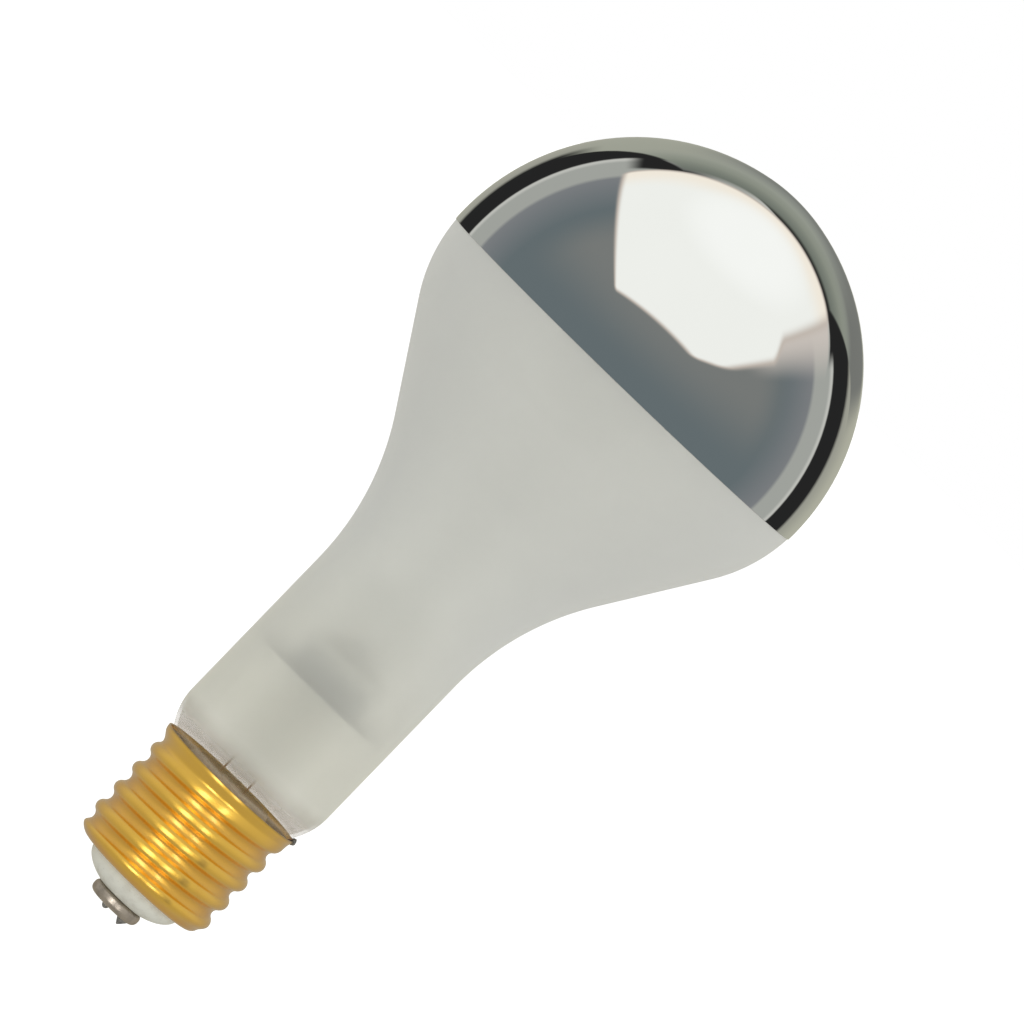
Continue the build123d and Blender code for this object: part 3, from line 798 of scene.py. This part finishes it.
class LAMP_OT_shell(bpy.types.Operator):
    """Rolls the brass screw shell"""

    bl_idname = "lamp.shell"
    bl_label = "Screw shell"

    def execute(self, context):
        piece(screw_shell_mesh(context.scene.lamp_cap), brass(), "brass_shell", "screw_shell")
        return {"FINISHED"}


class LAMP_OT_cap_end(bpy.types.Operator):
    """Finishes the insulator, the contact and the cement"""

    bl_idname = "lamp.cap_end"
    bl_label = "Insulator, contact and cement"

    def execute(self, context):
        clothe(insulator_glaze(), "insulator")
        piece(contact_button_mesh(context.scene.lamp_cap), contact_plate(), "plated_contact", "centre_contact")
        clothe(cement(), "basing_cement")
        return {"FINISHED"}


class LAMP_OT_solder(bpy.types.Operator):
    """Drips the ragged solder on the contact and the rim"""

    bl_idname = "lamp.solder"
    bl_label = "Solder"

    def execute(self, context):
        finish = dull_solder()
        # The dabs hang under the contact, left and right of its hole, down to the depth of the tip
        tip = CONTACT_LOW[2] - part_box("solder_spike")[0][2]
        bead = lump_rows((-2.35 * MM, -1.0 * MM, 0.3 * tip), (-0.35 * MM, 1.0 * MM, 1.36 * tip), 0.06, 1.3)
        spike = spike_rows((3.65 * MM, 0, 0), (4.1 * MM, 0, 1.75 * tip), (3.05 * MM, 2.3 * MM, 0), 0.1, 3.4)
        rim = lump_rows(*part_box("side_solder"), 0.45, 5.5)
        for node, rows in (("solder_bead", bead), ("solder_spike", spike), ("side_solder", rim)):
            piece(grid_mesh(f"{node}_lump", rows), finish, "solder", node)
        return {"FINISHED"}


class LAMP_OT_filament(bpy.types.Operator):
    """Winds the filament coil"""

    bl_idname = "lamp.filament"
    bl_label = "Filament"

    def execute(self, context):
        tone = context.scene.lamp_colours.tungsten
        piece(coil_mesh(context.scene.lamp_cap), drawn_metal("tungsten_wire", tone, 0.35), "tungsten", "filament")
        return {"FINISHED"}


class LAMP_OT_mount(bpy.types.Operator):
    """Finishes the stem, the deflector and the wires"""

    bl_idname = "lamp.mount"
    bl_label = "Stem, deflector and wires"

    def execute(self, context):
        tints = context.scene.lamp_colours
        supports = [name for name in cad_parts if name.startswith("support_wire")]
        clothe(clear_glass(), "stem", "exhaust_tube", "button_rod")
        # The deflector is dark at its plate as painted shade and lighter up the collar as painted light.
        clothe(drawn_metal("deflector_sheet", tints.disc_shade, 0.45, tints.collar), "heat_deflector")
        inner = ("left_lead_wire", "right_lead_wire", "left_tie_wire", "right_tie_wire")
        clothe(drawn_metal("nickel_wire", tints.nickel, 0.25), *inner, *supports)
        clothe(drawn_metal("copper_wire", tints.copper, 0.3), "centre_lead", "side_lead")
        return {"FINISHED"}


def studio_room(f, x, y, z):
    """The room that the silver mirrors, as a colour by direction.

    Away runs from the grey front past pale side walls, a lit edge and a dark flag to a beige backdrop. Across and
    ahead are places on a level ceiling, which has the softbox. Past the softbox the flags narrow to a dark line.
    """
    front, side, pale, edge = (0.14, 0.17, 0.18), (0.22, 0.23, 0.24), (0.40, 0.41, 0.38), (0.58, 0.58, 0.54)
    dark, backdrop, far = (0.02, 0.02, 0.02), (0.35, 0.35, 0.30), (0.44, 0.44, 0.36)
    wall_stops = [
        (0.46, front), (0.63, side), (0.65, pale), (0.734, pale), (0.75, edge), (0.757, edge),
        (0.764, dark), (0.86, dark), (0.878, backdrop), (0.95, far),
    ]
    ceiling_stops = [
        (0.0, (0.100, 0.110, 0.085)), (0.05, (0.180, 0.200, 0.170)), (0.16, (0.280, 0.300, 0.250)),
        (0.30, (0.325, 0.345, 0.295)), (0.50, (0.270, 0.285, 0.255)), (0.90, (0.210, 0.220, 0.200)),
    ]
    aside = x / ((x * x + z * z).math("SQRT") + 0.001)
    away = (y + aside.step(-0.3, 0.3) * 0.14 - 0.07) * 0.45 + 0.5
    walls = f.node("ShaderNodeValToRGB", {"stops": wall_stops}, {"Fac": away}, "Color")

    over = z.math("MAXIMUM", 0.02)
    across, ahead = x / over, -(y / over)
    past = -ahead - 0.70
    ceiling = f.node("ShaderNodeValToRGB", {"stops": ceiling_stops}, {"Fac": past / 3.0}, "Color")
    ceiling = (across.step(-0.1, -0.8) * past.step(0.4, 1.2)).mix(ceiling, (0.38, 0.39, 0.325, 1))
    ceiling = (across.step(0.1, 0.8) * past.step(0.5, 1.2)).mix(ceiling, (0.19, 0.195, 0.18, 1))

    overhead = past.step(-0.02, 0.03) * z.step(0.05, 0.15)
    flag_reach = 0.09 + 1.9 * (abs(across) - 0.6).math("MAXIMUM", 0.0)
    flag = overhead * (flag_reach - past).step(-0.06, 0.06) * away.step(0.68, 0.70)
    flag = flag * abs(across).step(0.3, 0.62) * abs(across).step(1.1, 0.9)
    top = overhead * (past - flag_reach).step(-0.06, 0.06) * abs(aside).step(0.92, 0.80)
    room = flag.mix(top.mix(walls, ceiling), rgba(dark))
    haze = z.step(0.0, 0.5) * y.step(0.0, -0.4) * 0.7
    room = haze.mix(room, (0.235, 0.235, 0.220, 1))

    above = z.step(0.03, 0.06)
    halo = across.step(0.3, 0.6) * across.step(1.25, 0.70) * ahead.step(-0.70, -0.64) * ahead.step(0.9, 0.3) * above
    room = halo.mix(room, (0.66, 0.60, 0.55, 1))
    left = across + 1.16 + 0.11 * ahead
    notch = ahead.step(0.36, 0.10)
    right = 0.93 + 0.05 * ahead - 0.22 * notch - across
    corner = 1.14 - across - 0.55 * (ahead - 1.0)
    box = corner.step(-0.10, 0.13) * left.step(-0.07, 0.08) * right.step(-0.11, 0.13)
    box = box * ahead.step(-0.76, -0.64) * ahead.step(2.02, 1.70) * above
    glow = across * across + (ahead + 0.1) * (ahead + 0.1)
    lamp = ahead.step(-0.3, -0.65).mix((0.98, 0.985, 0.94, 1), (1.0, 0.92, 0.80, 1))
    lamp = glow.step(0.34, 0.04).mix(lamp, (1.04, 1.045, 1.01, 1))
    room = box.step(0.0, 0.55).mix(room, (0.60, 0.53, 0.47, 1))
    room = box.step(0.35, 1.0).mix(room, lamp)
    return z.step(-0.17, -0.40).mix(room, (0.45, 0.44, 0.42, 1))


def studio_world(scene):
    """Plain white for the camera and for light that comes through glass, and even light for everything else.

    Only the polished silver mirrors the room. Satin metal sees a tent that is a little darker below and behind.
    """
    world = bpy.data.worlds.new("studio")
    world.use_nodes = True
    scene.world = world
    f = Finish(world.node_tree)
    x, y, z = f.node("ShaderNodeTexCoord", {}, {}, "Generated").parts()
    direct = f.node("ShaderNodeLightPath", {}, {}, "Is Camera Ray")
    through = f.node("ShaderNodeLightPath", {}, {}, "Is Transmission Ray")
    mirrored = f.node("ShaderNodeLightPath", {}, {}, "Is Singular Ray")
    satin = f.node("ShaderNodeLightPath", {}, {}, "Is Glossy Ray")
    tent = z.step(-0.7, 0.5).mix((0.52, 0.51, 0.47, 1), (0.68, 0.68, 0.66, 1))
    tent = y.step(0.2, 0.95).mix(tent, (0.43, 0.39, 0.31, 1))
    around = satin.mix((0.68, 0.68, 0.67, 1), tent)
    around = mirrored.mix(around, studio_room(f, x, y, z))
    light = (direct + through).clamp().mix(around, (1.0, 1.0, 1.0, 1))
    background = f.node("ShaderNodeBackground", {}, {"Color": light, "Strength": 1.0}, "Background")
    f.node("ShaderNodeOutputWorld", {}, {"Surface": background}, None)


def pale_floor(studio):
    """A large level floor that keeps shadows and is white to the camera elsewhere."""
    half, front, level = studio.floor_side / 2, -studio.floor_front, -studio.floor_drop
    back = front + studio.floor_side
    mesh = bpy.data.meshes.new("floor")
    corners = [(-half, front, level), (half, front, level), (half, back, level), (-half, back, level)]
    mesh.from_pydata(corners, [], [(0, 1, 2, 3)])
    floor = bpy.data.objects.new("floor", mesh)
    bpy.context.scene.collection.objects.link(floor)
    made, f = material("pale_floor")
    tone = rgba(studio.floor)
    cloud = f.noise(0.4, 2.0)
    base = cloud.mix(tone, rgba([c * 0.985 for c in studio.floor]))
    seen = f.node("ShaderNodeLightPath", {}, {}, "Is Camera Ray")
    through = f.node("ShaderNodeLightPath", {}, {}, "Is Transmission Ray")
    glow = (seen + through).clamp().mix((0, 0, 0, 1), (0.6, 0.6, 0.6, 1))
    f.surface(f.shader(base_color=base, roughness=0.9, emission_color=glow, emission_strength=1.0))
    mesh.materials.append(made)
    floor.visible_glossy = False


def lamp_light(name, place, aim, wide, tall, power, only=None):
    """An area light. One that is kept to some pieces only is mirrored in them, the others aren't mirrored."""
    data = bpy.data.lights.new(name, "AREA")
    data.energy = power
    data.shape = "RECTANGLE"
    data.size, data.size_y = wide, tall
    light = bpy.data.objects.new(name, data)
    light.location = place
    light.rotation_euler = (Vector(aim) - Vector(place)).to_track_quat("-Z", "Y").to_euler()
    light.visible_camera = False
    light.visible_transmission = False
    light.visible_glossy = only is not None
    light.light_linking.receiver_collection = only
    bpy.context.scene.collection.objects.link(light)


def picture_camera(scene, studio):
    """Aims the camera at the lamp's middle and rolls it until the lamp leans as in the photograph."""
    data = bpy.data.cameras.new("camera")
    data.lens = studio.lens
    data.sensor_width = 36
    data.clip_end = 100
    eye = Vector((0, -studio.distance, studio.eye_height))
    middle = Vector((0, 0, (CAD_BOX[0][2] + CAD_BOX[1][2]) / 2))
    ahead = (middle - eye).normalized()
    right = ahead.cross(Vector((0, 0, 1))).normalized()
    up = right.cross(ahead)
    across = up * math.sin(studio.lean) + right * math.cos(studio.lean)
    upward = up * math.cos(studio.lean) - right * math.sin(studio.lean)
    focal = studio.lens / data.sensor_width * studio.picture
    dx = studio.middle_x - studio.picture / 2
    dy = studio.picture / 2 - studio.middle_y
    look = (ahead * focal - across * dx - upward * dy).normalized()
    across = (across - look * across.dot(look)).normalized()
    upward = across.cross(look)
    turned = Matrix((across, upward, -look)).transposed().to_4x4()
    camera = bpy.data.objects.new("camera", data)
    camera.matrix_world = Matrix.Translation(eye) @ turned
    scene.collection.objects.link(camera)
    scene.camera = camera


class LAMP_OT_stage(bpy.types.Operator):
    """Sets the floor, the light and the camera"""

    bl_idname = "lamp.stage"
    bl_label = "Stage"

    def execute(self, context):
        scene = context.scene
        studio = scene.lamp_studio
        scene.view_settings.view_transform = "Standard"
        # The neck is seen through two walls, the stem and the exhaust tube, with two faces each
        scene.cycles.max_bounces = 9
        scene.cycles.transparent_max_bounces = 20
        studio_world(scene)
        pale_floor(studio)
        cap_middle = (0, 0, 0.03)
        cap = bpy.data.collections.new("cap_pieces")
        for name in ("screw_shell_brass", "contact_button", "solder_bead_lump", "solder_spike_lump"):
            cap.objects.link(bpy.data.objects[name])
        lamp_light("fill", (0.35, -1.65, 0.25), (0, 0, 0.1), 1.4, 1.4, studio.fill)
        lamp_light("cap_left", (-0.31, -1.15, -0.05), cap_middle, 0.34, 1.2, studio.streak, cap)
        lamp_light("cap_right", (0.41, -1.12, -0.05), cap_middle, 0.20, 1.2, studio.streak * 0.6, cap)
        lamp_light("cap_back", (0.15, 1.0, 0.8), cap_middle, 0.34, 0.4, studio.streak * 0.6, cap)
        picture_camera(scene, studio)
        return {"FINISHED"}


class LAMP_PT_panel(bpy.types.Panel):
    """Lists the steps that dress the lamp"""

    bl_idname = "LAMP_PT_panel"
    bl_label = "Silvered-bowl lamp"
    bl_space_type = "VIEW_3D"
    bl_region_type = "UI"
    bl_category = "Lamp"

    def draw(self, context):
        for operator in OPERATORS:
            self.layout.operator(operator.bl_idname)
        for group in GROUPS:
            box = self.layout.box()
            box.label(text=GROUPS[group].__doc__)
            for name in GROUPS[group].__annotations__:
                box.prop(getattr(context.scene, group), name)


GROUPS = {"lamp_bulb": BulbSizes, "lamp_cap": CapSizes, "lamp_colours": LampColours, "lamp_studio": StudioSettings}
OPERATORS = [
    LAMP_OT_bulb, LAMP_OT_mirror, LAMP_OT_shell, LAMP_OT_cap_end,
    LAMP_OT_solder, LAMP_OT_filament, LAMP_OT_mount, LAMP_OT_stage,
]


def register():
    """Registers the property groups, the operators and the panel."""
    for group, kind in GROUPS.items():
        bpy.utils.register_class(kind)
        setattr(bpy.types.Scene, group, PointerProperty(type=kind))
    for kind in [*OPERATORS, LAMP_PT_panel]:
        bpy.utils.register_class(kind)


def unregister():
    """Takes them away again, in the other order."""
    for kind in [LAMP_PT_panel, *reversed(OPERATORS)]:
        bpy.utils.unregister_class(kind)
    for group, kind in reversed(GROUPS.items()):
        delattr(bpy.types.Scene, group)
        bpy.utils.unregister_class(kind)


def main():
    """Dresses the lamp step by step."""
    register()
    for operator in OPERATORS:
        group, name = operator.bl_idname.split(".")
        getattr(getattr(bpy.ops, group), name)()


if __name__ == "__main__":
    main()
